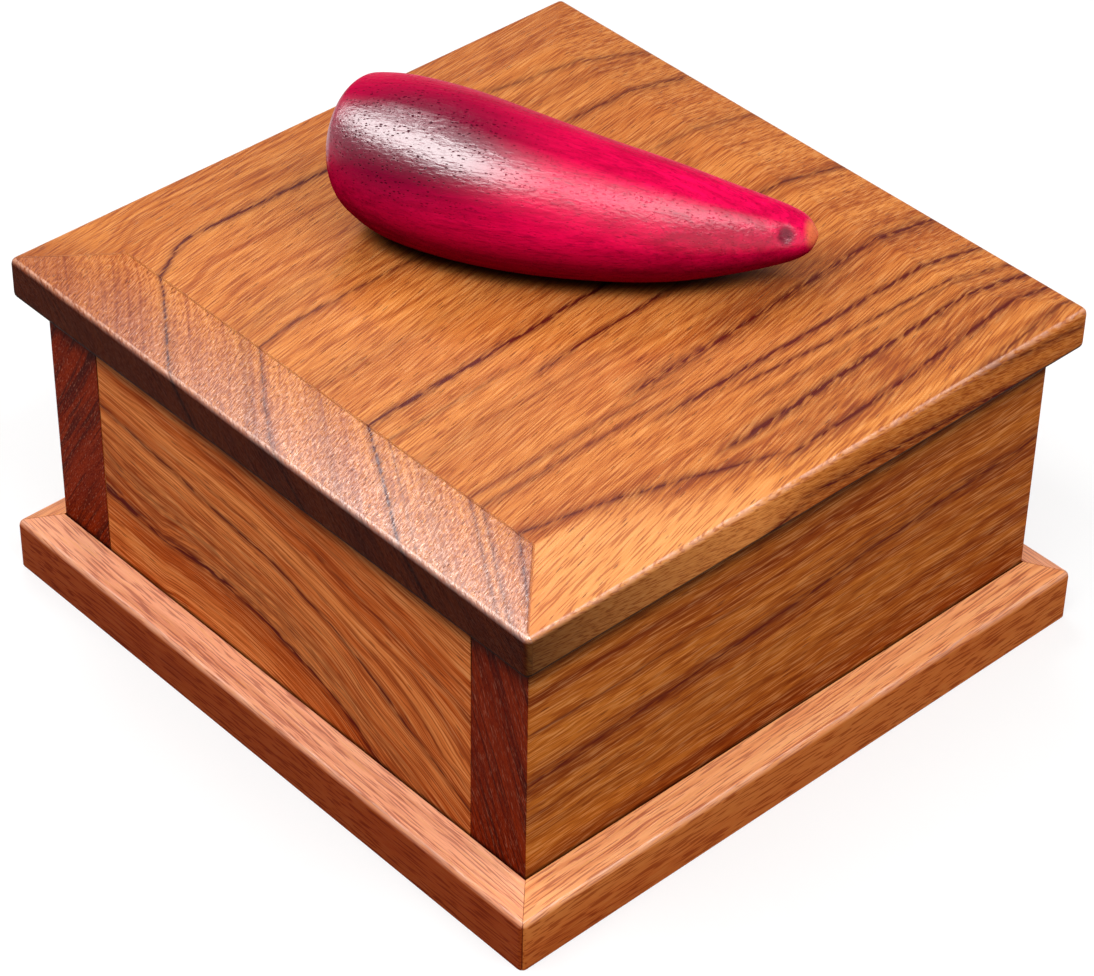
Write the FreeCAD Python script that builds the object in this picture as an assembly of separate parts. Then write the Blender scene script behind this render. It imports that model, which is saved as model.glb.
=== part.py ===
import FreeCAD, Part

import math
import os

# Shogi piece box: a small hardwood box on a mitred plinth, with a loose lid that lifts
# straight off by a carved handle. Millimetres. X runs along the front, Y from front to
# back, Z up. The origin is the middle of the base, on the surface that the box stands on.

# ---- driving dimensions --------------------------------------------------------------

# body
BODY_WIDTH = 112.0
BODY_DEPTH = 115.5
BODY_HEIGHT = 56.5
WALL_THICKNESS = 12.5
WALL_ARRIS = 0.4

# bottom board, held in a groove all round the walls
BOTTOM_THICKNESS = 5.0
BOTTOM_RAISE = 5.0
GROOVE_DEPTH = 5.0
GROOVE_HEADROOM = 0.2
BOTTOM_EDGE_PLAY = 0.5

# blind dowels across the corner joints
DOWEL_DIAMETER = 5.0
DOWEL_LENGTH = 22.0
DOWEL_COVER = 4.0
DOWEL_MARGIN = 11.0
DOWEL_GLUE_GAP = 0.05
DOWEL_END_GAP = 0.5
DOWELS_PER_CORNER = 2

# plinth mouldings round the foot
PLINTH_PROJECTION = 6.0
PLINTH_HEIGHT = 11.5
PLINTH_FALL = 1.9
PLINTH_ARRIS = 1.0
PLINTH_GLUE_GAP = 0.15

# lid board
LID_OVERHANG = 4.0
LID_EDGE_HEIGHT = 7.7
LID_RISE = 1.8
LID_BEVEL_WIDTH = 13.6
LID_ARRIS = 1.1

# locating strips under the lid
STRIP_HEIGHT = 6.0
STRIP_THICKNESS = 7.0
STRIP_CLEARANCE = 0.5
STRIP_LEAD_IN = 1.0

# panel pins that hold the strips
PIN_DIAMETER = 1.2
PIN_HEAD_DIAMETER = 2.2
PIN_HEAD_HEIGHT = 0.8
PIN_BITE = 5.0
PIN_GAP = 0.02
PIN_SPREAD = 50.0

# carved handle: a horn shape that lies on its flattened side, its butt cut off askew
HANDLE_LENGTH = 74.5
HANDLE_WIDTH = 27.8
HANDLE_HEIGHT = 26.5
HANDLE_TURN = -56.5
HANDLE_BOW = 6.6
HANDLE_LEAN = -1.0
HANDLE_MIDDLE_X = 11.6
HANDLE_MIDDLE_Y = 2.9
HANDLE_SEAT_CUT = 1.3
HANDLE_TIP_HEIGHT = 7.6
HANDLE_LEVEL_SHARE = 0.2
HANDLE_TIP_EASE = 1.3
HANDLE_BUTT_TILT = 13.5
HANDLE_BUTT_SKEW = 3.5
HANDLE_RIM = 1.6

# share of the length, and share of the full girth there; the first lies past the butt
HANDLE_GIRTH_SHARES = (
    (-0.08, 0.79), (-0.03, 0.805), (0.00, 0.83), (0.05, 0.925), (0.12, 0.99), (0.25, 1.00),
    (0.40, 0.94), (0.55, 0.84), (0.70, 0.71), (0.84, 0.515), (0.94, 0.33), (1.00, 0.12),
)

# countersunk wood screws that hold the handle, from inside the lid
SCREW_DIAMETER = 3.5
SCREW_HEAD_DIAMETER = 7.0
SCREW_LENGTH = 25.0
SCREW_POINT = 3.0
SCREW_SLOT_WIDTH = 0.9
SCREW_SLOT_DEPTH = 1.1
SCREW_HOLE_GAP = 0.1
SCREW_PILOT_BITE = 0.35
SCREW_SHARES = (0.19, 0.48)

# ---- places worked out from them -----------------------------------------------------

HALF_WIDTH = BODY_WIDTH / 2
HALF_DEPTH = BODY_DEPTH / 2
INNER_HALF_WIDTH = HALF_WIDTH - WALL_THICKNESS
INNER_HALF_DEPTH = HALF_DEPTH - WALL_THICKNESS
BOTTOM_TOP = BOTTOM_RAISE + BOTTOM_THICKNESS
BOTTOM_REACH = GROOVE_DEPTH - BOTTOM_EDGE_PLAY
LID_TOP = BODY_HEIGHT + LID_EDGE_HEIGHT + LID_RISE
STRIP_BOTTOM = BODY_HEIGHT - STRIP_HEIGHT
STRIP_HALF_WIDTH = INNER_HALF_WIDTH - STRIP_CLEARANCE
STRIP_HALF_DEPTH = INNER_HALF_DEPTH - STRIP_CLEARANCE
UP = FreeCAD.Vector(0, 0, 1)
CUT_PAST = 1.0
SAME_PLACE = 1e-6
CUT_TOLERANCE = 1e-4
RIM_SAMPLES = 9


def block(x0, x1, y0, y1, z0, z1):
    """A box between two corners."""
    return Part.makeBox(x1 - x0, y1 - y0, z1 - z0, FreeCAD.Vector(x0, y0, z0))


def centred_block(half_x, half_y, z0, z1):
    """A box centred on the Z axis."""
    return block(-half_x, half_x, -half_y, half_y, z0, z1)


def rectangle(half_x, half_y, z):
    """A closed rectangle centred on the Z axis, at one height."""
    corners = [(-half_x, -half_y), (half_x, -half_y), (half_x, half_y), (-half_x, half_y)]
    points = [FreeCAD.Vector(x, y, z) for x, y in corners]
    return Part.makePolygon(points + points[:1])


def upright_edges(shape, half_x, half_y):
    """The vertical edges that stand at the four corners of a rectangle."""
    found = []
    for edge in shape.Edges:
        box = edge.BoundBox
        upright = box.ZLength > SAME_PLACE and max(box.XLength, box.YLength) < SAME_PLACE
        off_corner = max(abs(abs(box.XMin) - half_x), abs(abs(box.YMin) - half_y))
        if upright and off_corner < SAME_PLACE:
            found.append(edge)
    return found


def level_edges(shape, z):
    """The edges that lie flat at one height."""
    return [edge for edge in shape.Edges
            if max(abs(edge.BoundBox.ZMin - z), abs(edge.BoundBox.ZMax - z)) < SAME_PLACE]


def hipped_board(half_x, half_y, bottom, edge_top, top, bevel, arris):
    """A board with four shallow bevels round its top, and its arrises and corners eased."""
    outer = [rectangle(half_x, half_y, z) for z in (bottom, edge_top)]
    slab = Part.makeLoft(outer, True, True)
    crown = Part.makeLoft([outer[1], rectangle(half_x - bevel, half_y - bevel, top)], True, True)
    board = slab.fuse(crown).removeSplitter()
    edges = upright_edges(board, half_x, half_y)
    edges += level_edges(board, bottom) + level_edges(board, edge_top)
    return board.makeFillet(arris, edges)


def mitre_wedge(side, half_x, half_y, width, bottom, top):
    """The space of one side of a mitred frame; its ends lie in the 45 degree mitre planes."""
    outer_x = half_x + width
    outer_y = half_y + width
    inner_x = half_x - 2 * width
    inner_y = half_y - 2 * width
    if side in ("front", "back"):
        sign = -1 if side == "front" else 1
        corners = [(-outer_x, sign * outer_y), (outer_x, sign * outer_y),
                   (inner_x, sign * inner_y), (-inner_x, sign * inner_y)]
    else:
        sign = -1 if side == "left" else 1
        corners = [(sign * outer_x, -outer_y), (sign * outer_x, outer_y),
                   (sign * inner_x, inner_y), (sign * inner_x, -inner_y)]
    points = [FreeCAD.Vector(x, y, bottom - CUT_PAST) for x, y in corners]
    face = Part.Face(Part.makePolygon(points + points[:1]))
    return face.extrude(UP * (top - bottom + 2 * CUT_PAST))


# ---- body ----------------------------------------------------------------------------


def corner_dowels(gap):
    """Dowels along Y across the four corner joints, grown by a gap to cut their holes."""
    radius = DOWEL_DIAMETER / 2
    end = 0.0 if gap == 0.0 else DOWEL_END_GAP
    middle_x = HALF_WIDTH - WALL_THICKNESS / 2
    outer_y = HALF_DEPTH - DOWEL_COVER
    lowest = BOTTOM_TOP + DOWEL_MARGIN
    pitch = (BODY_HEIGHT - DOWEL_MARGIN - lowest) / (DOWELS_PER_CORNER - 1)
    dowels = []
    for side_x in (-1, 1):
        for side_y in (-1, 1):
            along = FreeCAD.Vector(0, -side_y, 0)
            for number in range(DOWELS_PER_CORNER):
                start = FreeCAD.Vector(side_x * middle_x, side_y * (outer_y + end), lowest + number * pitch)
                dowels.append(Part.makeCylinder(radius + gap, DOWEL_LENGTH + 2 * end, start, along))
    return Part.makeCompound(dowels)


def bottom_groove():
    """The groove's space all round, as wide as the bottom board and its headroom."""
    half_x = INNER_HALF_WIDTH + GROOVE_DEPTH
    half_y = INNER_HALF_DEPTH + GROOVE_DEPTH
    return centred_block(half_x, half_y, BOTTOM_RAISE, BOTTOM_TOP + GROOVE_HEADROOM)


def long_wall(side):
    """Front or back wall: full width, so its end grain shows on the left and right."""
    outer = side * HALF_DEPTH
    inner = side * INNER_HALF_DEPTH
    wall = block(-HALF_WIDTH, HALF_WIDTH, min(outer, inner), max(outer, inner), 0, BODY_HEIGHT)
    wall = wall.makeFillet(WALL_ARRIS, upright_edges(wall, HALF_WIDTH, HALF_DEPTH))
    return wall.cut(bottom_groove()).cut(corner_dowels(DOWEL_GLUE_GAP))


def short_wall(side):
    """Left or right wall: fits between the front and back walls."""
    outer = side * HALF_WIDTH
    inner = side * INNER_HALF_WIDTH
    x0 = min(outer, inner)
    x1 = max(outer, inner)
    wall = block(x0, x1, -INNER_HALF_DEPTH, INNER_HALF_DEPTH, 0, BODY_HEIGHT)
    return wall.cut(bottom_groove()).cut(corner_dowels(DOWEL_GLUE_GAP))


def bottom_board():
    """The floor of the box, loose in its groove so that it can swell."""
    half_x = INNER_HALF_WIDTH + BOTTOM_REACH
    half_y = INNER_HALF_DEPTH + BOTTOM_REACH
    return centred_block(half_x, half_y, BOTTOM_RAISE, BOTTOM_TOP)


# ---- plinth --------------------------------------------------------------------------


def plinth_moulding(side):
    """One mitred moulding, whose top falls away from the wall."""
    outer_x = HALF_WIDTH + PLINTH_PROJECTION
    outer_y = HALF_DEPTH + PLINTH_PROJECTION
    edge_top = PLINTH_HEIGHT - PLINTH_FALL
    board = hipped_board(outer_x, outer_y, 0, edge_top, PLINTH_HEIGHT, PLINTH_PROJECTION, PLINTH_ARRIS)
    foot_x = HALF_WIDTH + PLINTH_GLUE_GAP
    foot_y = HALF_DEPTH + PLINTH_GLUE_GAP
    ring = board.cut(centred_block(foot_x, foot_y, -CUT_PAST, PLINTH_HEIGHT + CUT_PAST))
    return ring.common(mitre_wedge(side, outer_x, outer_y, PLINTH_PROJECTION, 0, PLINTH_HEIGHT))


# ---- lid -----------------------------------------------------------------------------


def strip_pins(gap):
    """Panel pins driven up through the strips into the lid, grown by a gap for holes."""
    middle_x = STRIP_HALF_WIDTH - STRIP_THICKNESS / 2
    middle_y = STRIP_HALF_DEPTH - STRIP_THICKNESS / 2
    places = []
    for side in (-1, 1):
        for end in (-1, 1):
            places.append((end * PIN_SPREAD / 2, side * middle_y))
            places.append((side * middle_x, end * PIN_SPREAD / 2))
    pins = []
    for x, y in places:
        foot = FreeCAD.Vector(x, y, STRIP_BOTTOM)
        shank = Part.makeCylinder(PIN_DIAMETER / 2 + gap, STRIP_HEIGHT + PIN_BITE + gap, foot)
        head = Part.makeCylinder(PIN_HEAD_DIAMETER / 2 + gap, PIN_HEAD_HEIGHT + gap, foot)
        pins.append(shank.fuse(head).removeSplitter())
    return Part.makeCompound(pins)


def locating_strip(side):
    """One mitred strip, which keeps the lid from sliding off the walls."""
    frame = centred_block(STRIP_HALF_WIDTH, STRIP_HALF_DEPTH, STRIP_BOTTOM, BODY_HEIGHT)
    frame = frame.makeChamfer(STRIP_LEAD_IN, level_edges(frame, STRIP_BOTTOM))
    hole_x = STRIP_HALF_WIDTH - STRIP_THICKNESS
    hole_y = STRIP_HALF_DEPTH - STRIP_THICKNESS
    frame = frame.cut(centred_block(hole_x, hole_y, STRIP_BOTTOM - CUT_PAST, BODY_HEIGHT + CUT_PAST))
    wedge = mitre_wedge(side, STRIP_HALF_WIDTH, STRIP_HALF_DEPTH, STRIP_THICKNESS,
                        STRIP_BOTTOM, BODY_HEIGHT)
    return frame.common(wedge).cut(strip_pins(PIN_GAP))


def handle_path(share):
    """A point of the handle's bowed middle line in plan, and its direction there."""
    turn = math.radians(HANDLE_TURN)
    along = FreeCAD.Vector(math.cos(turn), math.sin(turn), 0)
    across = FreeCAD.Vector(math.sin(turn), -math.cos(turn), 0)
    middle = FreeCAD.Vector(HANDLE_MIDDLE_X, HANDLE_MIDDLE_Y, 0)
    butt = middle - along * (HANDLE_LENGTH / 2)
    tip = middle + along * (HANDLE_LENGTH / 2)
    bend = middle + across * (2 * HANDLE_BOW) + along * HANDLE_LEAN
    back = 1 - share
    point = butt * (back * back) + bend * (2 * share * back) + tip * (share * share)
    direction = (bend - butt) * back + (tip - bend) * share
    return point, direction.normalize()


def handle_centre_height(share):
    """How high the handle's middle lies above the lid: level, then easing to the tip."""
    level = HANDLE_HEIGHT / 2 - HANDLE_SEAT_CUT
    past = max(0.0, (share - HANDLE_LEVEL_SHARE) / (1 - HANDLE_LEVEL_SHARE))
    return level + (HANDLE_TIP_HEIGHT - level) * past ** HANDLE_TIP_EASE


def handle_section(share, girth):
    """An upright oval across the handle."""
    point, direction = handle_path(share)
    centre = point + UP * (LID_TOP + handle_centre_height(share))
    across = UP.cross(direction)
    half_width = girth * HANDLE_WIDTH / 2
    half_height = girth * HANDLE_HEIGHT / 2
    if half_width >= half_height:
        oval = Part.Ellipse(centre + across * half_width, centre + UP * half_height, centre)
    else:
        oval = Part.Ellipse(centre + UP * half_height, centre - across * half_width, centre)
    return Part.Wire([oval.toShape()])


def handle_screws(gap, slotted):
    """Two screws up through the lid into the handle, grown by a gap for their holes."""
    shank = SCREW_DIAMETER / 2 + gap
    head = SCREW_HEAD_DIAMETER / 2 + gap
    cone = head - shank
    screws = []
    for share in SCREW_SHARES:
        point, direction = handle_path(share)
        foot = FreeCAD.Vector(point.x, point.y, BODY_HEIGHT)
        screw = Part.makeCone(head, shank, cone, foot)
        straight = SCREW_LENGTH - cone - SCREW_POINT
        screw = screw.fuse(Part.makeCylinder(shank, straight, foot + UP * cone))
        point_foot = foot + UP * (cone + straight)
        screw = screw.fuse(Part.makeCone(shank, 0, SCREW_POINT, point_foot)).removeSplitter()
        if slotted:
            half_slot = SCREW_SLOT_WIDTH / 2
            slot = block(-head, head, -half_slot, half_slot, -CUT_PAST, SCREW_SLOT_DEPTH)
            slot.translate(foot)
            screw = screw.cut(slot)
        screws.append(screw)
    return Part.makeCompound(screws)


def lid_board():
    """The lid: one solid board, with four shallow bevels round its top."""
    half_x = HALF_WIDTH + LID_OVERHANG
    half_y = HALF_DEPTH + LID_OVERHANG
    edge_top = BODY_HEIGHT + LID_EDGE_HEIGHT
    board = hipped_board(half_x, half_y, BODY_HEIGHT, edge_top, LID_TOP, LID_BEVEL_WIDTH, LID_ARRIS)
    return board.cut(strip_pins(PIN_GAP)).cut(handle_screws(SCREW_HOLE_GAP, slotted=False))


def butt_plane():
    """The middle of the handle's butt, and the way that the cut faces: out and down."""
    point, direction = handle_path(0)
    turn = math.atan2(-direction.y, -direction.x) + math.radians(HANDLE_BUTT_SKEW)
    tilt = math.radians(HANDLE_BUTT_TILT)
    level = math.cos(tilt)
    facing = FreeCAD.Vector(math.cos(turn) * level, math.sin(turn) * level, -math.sin(tilt))
    return point + UP * (LID_TOP + handle_centre_height(0)), facing


def lies_in_plane(edge, middle, facing):
    """Whether the whole edge lies in the plane of a cut."""
    return all(abs((point - middle).dot(facing)) < CUT_TOLERANCE for point in edge.discretize(RIM_SAMPLES))


def lid_handle():
    """The carved handle: cut at the butt, its rim eased, and flattened where it sits."""
    sections = [handle_section(share, girth) for share, girth in HANDLE_GIRTH_SHARES]
    horn = Part.makeLoft(sections, True, False)
    reach = HANDLE_LENGTH + HANDLE_WIDTH
    middle, facing = butt_plane()
    waste = block(0, reach, -reach, reach, -reach, reach)
    waste.Placement = FreeCAD.Placement(middle, FreeCAD.Rotation(FreeCAD.Vector(1, 0, 0), facing))
    horn = horn.cut(waste)
    rim = [edge for edge in horn.Edges if lies_in_plane(edge, middle, facing)]
    horn = horn.makeFillet(HANDLE_RIM, rim)
    above = centred_block(reach, reach, LID_TOP, LID_TOP + 2 * HANDLE_HEIGHT)
    above.translate(FreeCAD.Vector(HANDLE_MIDDLE_X, HANDLE_MIDDLE_Y, 0))
    return horn.common(above).cut(handle_screws(-SCREW_PILOT_BITE, slotted=False))


# ---- one file for each piece ---------------------------------------------------------

PIECES = {
    "front_wall": long_wall(-1),
    "back_wall": long_wall(1),
    "left_wall": short_wall(-1),
    "right_wall": short_wall(1),
    "corner_dowels": corner_dowels(0.0),
    "bottom_board": bottom_board(),
    "plinth_front": plinth_moulding("front"),
    "plinth_back": plinth_moulding("back"),
    "plinth_left": plinth_moulding("left"),
    "plinth_right": plinth_moulding("right"),
    "lid_board": lid_board(),
    "lid_strip_front": locating_strip("front"),
    "lid_strip_back": locating_strip("back"),
    "lid_strip_left": locating_strip("left"),
    "lid_strip_right": locating_strip("right"),
    "strip_pins": strip_pins(0.0),
    "lid_handle": lid_handle(),
    "handle_screws": handle_screws(0.0, slotted=True),
}

os.makedirs("parts", exist_ok=True)
for name, shape in PIECES.items():
    if not shape.isValid():
        raise ValueError(name + " is not a valid solid")
    shape.exportStep("parts/" + name + ".step")
    box = shape.optimalBoundingBox(False, False)
    print(name, len(shape.Solids), round(shape.Volume, 1),
          [round(v, 2) for v in (box.XMin, box.XMax, box.YMin, box.YMax, box.ZMin, box.ZMax)])
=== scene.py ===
import math

import bpy
from mathutils import Matrix, Vector


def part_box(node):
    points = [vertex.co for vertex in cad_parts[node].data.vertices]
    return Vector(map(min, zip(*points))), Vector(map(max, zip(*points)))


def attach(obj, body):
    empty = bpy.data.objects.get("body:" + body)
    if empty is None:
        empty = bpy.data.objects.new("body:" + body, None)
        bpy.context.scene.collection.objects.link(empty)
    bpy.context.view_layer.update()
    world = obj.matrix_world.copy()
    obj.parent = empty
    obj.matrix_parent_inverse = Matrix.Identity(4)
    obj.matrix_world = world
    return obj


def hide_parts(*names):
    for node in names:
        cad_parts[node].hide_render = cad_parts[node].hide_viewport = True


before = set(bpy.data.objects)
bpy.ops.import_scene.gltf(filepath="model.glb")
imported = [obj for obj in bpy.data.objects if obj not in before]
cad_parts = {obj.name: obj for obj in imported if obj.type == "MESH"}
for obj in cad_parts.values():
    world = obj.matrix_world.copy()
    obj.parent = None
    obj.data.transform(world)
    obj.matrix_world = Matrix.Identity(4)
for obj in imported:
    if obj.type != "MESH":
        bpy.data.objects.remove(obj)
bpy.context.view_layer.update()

# =============================================================================
# Front and back walls
# Two straight-grained hardwood boards as long as the box is wide, so their end
# grain shows at the sides as a dark upright strip. Planed, grooved inside for
# the bottom board, bored for the dowels, glued, and rubbed with oil.
# =============================================================================

MM = 0.001
ARRIS_EASE = 0.22 * MM
GROOVE_BOTTOM = 5.0 * MM
GROOVE_TOP = 10.2 * MM
GROOVE_DEPTH = 5.0 * MM
DOWEL_HOLE_RADIUS = 2.55 * MM
DOWEL_LEVELS = (21.0 * MM, 45.5 * MM)
DOWEL_INSET = 6.25 * MM
DOWEL_COVER = 3.5 * MM
CUT_PAST = 1.0 * MM
LID_UNDERSIDE = 56.5 * MM
OIL_ROUGHNESS = 0.32
SIDE_ROUGHNESS = 0.55
# Heights in mm between which the walls are darkened, from where it is darkest to where it
# ends, and the share of colour left there: a band along the plinth, and painted shade under the lid.
DARK_BANDS = ((11.4, 12.4, 0.25), (55.0, 47.0, 0.75))
FIBRE_RELIEF = 0.06 * MM
NOOK_SHADE_REACH = 3.0 * MM
SEAM_SHADOW_REACH = 7.0 * MM
UNDERSIDE_SHADE = 0.1


def linear(hex_code):
    """Linear red, green, blue and alpha of an sRGB hex colour."""
    shares = [int(hex_code[i:i + 2], 16) / 255 for i in (1, 3, 5)]
    return [s / 12.92 if s <= 0.04045 else ((s + 0.055) / 1.055) ** 2.4 for s in shares] + [1.0]


def add_node(tree, kind, inputs, **settings):
    """Adds one node with its settings; each input is a value, or a node or socket to link."""
    node = tree.nodes.new(kind)
    for name, value in settings.items():
        setattr(node, name, value)
    for key, value in inputs.items():
        if isinstance(value, bpy.types.Node):
            value = value.outputs[0]
        if isinstance(value, bpy.types.NodeSocket):
            tree.links.new(value, node.inputs[key])
        else:
            node.inputs[key].default_value = value
    return node


def take_up(piece):
    """Makes a piece the only one that is selected and worked on."""
    bpy.ops.object.select_all(action="DESELECT")
    piece.select_set(True)
    bpy.context.view_layer.objects.active = piece


def squared_board(name, low, high):
    """A sawn board between two corners, its place in its mesh."""
    bpy.ops.object.select_all(action="DESELECT")
    bpy.ops.mesh.primitive_cube_add(size=1, location=(low + high) / 2)
    board = bpy.context.object
    board.name = name
    board.scale = high - low
    bpy.ops.object.transform_apply(location=True, rotation=True, scale=True)
    return board


def work(piece, kind, **settings):
    """Adds one modifier to a piece and applies it."""
    modifier = piece.modifiers.new(kind, kind)
    for name, value in settings.items():
        setattr(modifier, name, value)
    take_up(piece)
    bpy.ops.object.modifier_apply(modifier=modifier.name)


def cut_out(piece, cutter):
    """Cuts the cutter's shape out of a piece, and takes the cutter away."""
    work(piece, "BOOLEAN", operation="DIFFERENCE", object=cutter, solver="EXACT")
    bpy.data.objects.remove(cutter)


def bore(piece, start, end, radius, end_radius=None, sides=28):
    """Drills a hole between two points, round or tapered."""
    way = end - start
    bpy.ops.object.select_all(action="DESELECT")
    bpy.ops.mesh.primitive_cone_add(
        vertices=sides, radius1=radius, radius2=radius if end_radius is None else end_radius,
        depth=way.length, location=(start + end) / 2,
        rotation=way.to_track_quat("Z", "Y").to_euler())
    cut_out(piece, bpy.context.object)


def smooth_rounds(piece, limit=40):
    """Shades the rounded arrises smooth and keeps the flats flat."""
    take_up(piece)
    bpy.ops.object.shade_smooth_by_angle(angle=math.radians(limit))
    work(piece, "WEIGHTED_NORMAL", keep_sharp=True, weight=100)


def add_growth_line(tree, rings, along, line):
    """Darkness of one growth line: full at its middle, and halved every width away from it."""
    place, slope, width, darkness, start, end = line
    middle = add_node(tree, "ShaderNodeMath", {0: along, 1: slope, 2: place}, operation="MULTIPLY_ADD")
    off = add_node(tree, "ShaderNodeMath", {0: rings, 1: middle}, operation="SUBTRACT")
    off = add_node(tree, "ShaderNodeMath", {0: off}, operation="ABSOLUTE")
    widths = add_node(tree, "ShaderNodeMath", {0: off, 1: width}, operation="DIVIDE")
    shade = add_node(tree, "ShaderNodeMath", {0: 0.5, 1: widths}, operation="POWER")
    shade = add_node(tree, "ShaderNodeMath", {0: shade, 1: darkness}, operation="MULTIPLY")
    fade = 5.0
    for edge, way in ((start, 1), (end, -1)):
        if edge is not None:
            window = add_node(tree, "ShaderNodeMapRange", {
                "Value": along, "From Min": edge - way * fade, "From Max": edge + way * fade},
                interpolation_type="SMOOTHSTEP")
            shade = add_node(tree, "ShaderNodeMath", {0: shade, 1: window}, operation="MULTIPLY")
    return shade


def oiled_hardwood(name, axes, face, piece_of_tree, lines=(), light="#E28A50", dark="#C76D38",
                   end_tint="#B0603C", end_rings=0.6, hair_length=7.0, hairs=0.55, late_wood=0.0,
                   gloss=0.12, polished=False, slant=0.0, deeper=0.0, tilt=0.0, wander=4.0,
                   pore_cell=(4.0, 0.55, 0.6), pore_shade=0.55, painted_side_shade="#FFFFFF",
                   darkened_at_seams=False, dive=None, arched=False):
    """Reddish-brown, ring-marked hardwood, planed and oiled. The pattern is solid, so that it
    turns over every arris onto the end grain. The eye gets dark wavy growth lines, fine dark and
    bright fibres along them, short open pores, and a satin sheen that the pores break up.
    axes names which of X, Y, Z runs along the grain, across the face and into the board; face is
    where the board's face lies on the last, in mm. end_tint and end_rings colour the end grain;
    late_wood is the strength of the broad darker bands. The fibres run across the growth lines at
    a slant; deeper is how much the tone deepens per mm along the board. A polished board has its
    pores filled and a painted pale highlight on its arrises, and its side tint is painted shade on
    its sides. A board darkened at its seams is darker along the plinth, with painted shade under the lid.
    dive says from where to where, along the board, the grain turns aside on the bevel at its left
    end, and how far; an arched board has growth lines that rise and fall along it."""
    finish = bpy.data.materials.new(name)
    finish.use_nodes = True
    tree = finish.node_tree
    tree.nodes.clear()
    place = add_node(tree, "ShaderNodeTexCoord", {})
    millimetres = add_node(tree, "ShaderNodeVectorMath", {
        0: place.outputs["Object"], 1: (1000, 1000, 1000)}, operation="MULTIPLY")
    xyz = add_node(tree, "ShaderNodeSeparateXYZ", {0: millimetres})
    along, across, depth = (xyz.outputs["XYZ".index(letter)] for letter in axes)
    depth = add_node(tree, "ShaderNodeMath", {0: depth, 1: face}, operation="SUBTRACT")

    # Ring coordinate: the place across the grain, bent as the tree grew.
    board = add_node(tree, "ShaderNodeCombineXYZ", {0: along, 1: across, 2: depth})
    rings = across

    # An arched board: the growth lines rise along it and bow, more so low down on the face.
    if arched:
        pitch = add_node(tree, "ShaderNodeMapRange", {
            "Value": across, "From Min": 47.0, "From Max": 20.0, "To Min": 0.14, "To Max": 0.30})
        bow = add_node(tree, "ShaderNodeMapRange", {
            "Value": across, "From Min": 36.0, "From Max": 24.0, "To Min": 0.0018, "To Max": 0.0075})
        held = add_node(tree, "ShaderNodeClamp", {0: along, 1: -20.0, 2: 30.0})
        bow = add_node(tree, "ShaderNodeMath", {0: bow, 1: held}, operation="MULTIPLY")
        pitch = add_node(tree, "ShaderNodeMath", {0: bow, 1: pitch}, operation="SUBTRACT")
        rings = add_node(tree, "ShaderNodeMath", {0: pitch, 1: along, 2: across}, operation="MULTIPLY_ADD")
    for size, sway in (((75, 30, 30), wander), ((14, 8, 12), 0.2 * wander)):
        slow = add_node(tree, "ShaderNodeVectorMath", {
            0: board, 1: [1 / s for s in size], 2: piece_of_tree}, operation="MULTIPLY_ADD")
        swell = add_node(tree, "ShaderNodeTexNoise", {
            "Vector": slow, "Scale": 1.0, "Detail": 3.0, "Roughness": 0.4})
        swell = add_node(tree, "ShaderNodeMath", {0: swell, 1: 0.5}, operation="SUBTRACT")
        rings = add_node(tree, "ShaderNodeMath", {0: swell, 1: 2 * sway, 2: rings}, operation="MULTIPLY_ADD")
    rings = add_node(tree, "ShaderNodeMath", {0: depth, 1: tilt, 2: rings}, operation="MULTIPLY_ADD")
    fibre_rings = add_node(tree, "ShaderNodeMath", {0: along, 1: -slant, 2: rings}, operation="MULTIPLY_ADD")
    normal = add_node(tree, "ShaderNodeSeparateXYZ", {0: place.outputs["Normal"]})

    # The bevel at the left end cuts across the rings, so there the lines turn aside.
    if dive is not None:
        dive_start, dive_end, aside = dive
        turned = add_node(tree, "ShaderNodeMapRange", {
            "Value": normal.outputs[0], "From Min": -0.04, "From Max": -0.12})
        share = add_node(tree, "ShaderNodeMapRange", {
            "Value": along, "From Min": dive_start, "From Max": dive_end, "To Max": aside})
        share = add_node(tree, "ShaderNodeMath", {0: share, 1: turned}, operation="MULTIPLY")
        rings = add_node(tree, "ShaderNodeMath", {0: share, 1: rings}, operation="ADD")
        curl = add_node(tree, "ShaderNodeMapRange", {
            "Value": across, "From Min": 5.0, "From Max": 45.0, "To Max": 7.0})
        bend = add_node(tree, "ShaderNodeMapRange", {
            "Value": along, "From Min": -36.0, "From Max": -50.0}, interpolation_type="SMOOTHSTEP")
        rings = add_node(tree, "ShaderNodeMath", {0: curl, 1: bend, 2: rings}, operation="MULTIPLY_ADD")
        fibre_rings = add_node(tree, "ShaderNodeMath", {0: turned, 1: 7.0, 2: fibre_rings},
                               operation="MULTIPLY_ADD")
        depth = add_node(tree, "ShaderNodeMath", {0: share, 1: -0.12, 2: depth}, operation="MULTIPLY_ADD")
    grown = add_node(tree, "ShaderNodeCombineXYZ", {0: along, 1: rings, 2: depth})
    fibrous = add_node(tree, "ShaderNodeCombineXYZ", {0: along, 1: fibre_rings, 2: depth})

    # Broad bands, streaks, fibres (as fine as a picture shows) and the crumbs of a growth line.
    patterns = []
    for course, size, detail in ((grown, (150, 8, 20), 2.0), (grown, (60, 1.2, 9), 3.0),
                                 (fibrous, (hair_length, 0.26, 0.36), 1.0), (fibrous, (3.6, 0.5, 0.5), 1.0)):
        spot = add_node(tree, "ShaderNodeVectorMath", {
            0: course, 1: [1 / s for s in size], 2: piece_of_tree}, operation="MULTIPLY_ADD")
        patterns.append(add_node(tree, "ShaderNodeTexNoise", {
            "Vector": spot, "Scale": 1.0, "Detail": detail, "Roughness": 0.55}))
    bands, streaks, fibres, crumbs = patterns

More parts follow.
